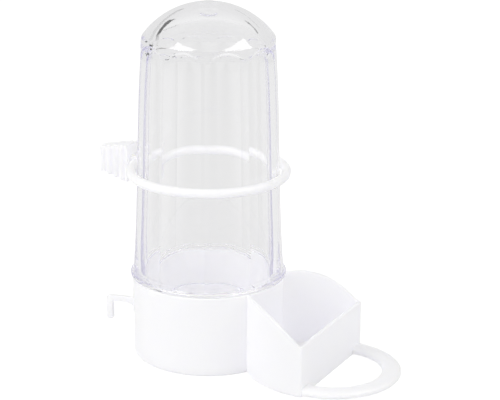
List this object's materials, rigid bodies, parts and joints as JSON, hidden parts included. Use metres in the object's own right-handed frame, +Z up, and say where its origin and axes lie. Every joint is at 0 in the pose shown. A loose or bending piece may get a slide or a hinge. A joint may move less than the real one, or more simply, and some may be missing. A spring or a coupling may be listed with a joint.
{
  "type": "automatic bird drinker",
  "caption": "Clear fluted water reservoir that stands neck down in a white cup, which feeds a half-round trough with a ring perch; a hook and a plugged ring hold it on a cage.",
  "frame": {"origin": "on the cup's axis, at the flat underside that the drinker stands on", "axes": "+Z up along the cup's and the reservoir's axis, -Y towards the trough and the perch, +Y towards the cage, with the hook and the plug"},
  "size_m": [0.0624, 0.1262, 0.137],
  "materials": {
    "white_polypropylene": "satin, as moulded",
    "clear_polystyrene": "clear and glossy"
  },
  "bodies": {
    "base": {"base_cup": "white_polypropylene", "perch": "white_polypropylene", "rear_hook": "white_polypropylene"},
    "reservoir": {"reservoir": "clear_polystyrene"},
    "holder": {"holder_ring": "white_polypropylene", "cage_plug": "white_polypropylene"}
  },
  "joints": [
    {"name": "reservoir_lift", "type": "slide", "parent": "base", "child": "reservoir", "axis": [0, 0, 1], "range_m": [0, 0.03]},
    {"name": "holder_slide", "type": "slide", "parent": "reservoir", "child": "holder", "axis": [0, 0, 1], "range_m": [0, 0.07]}
  ]
}
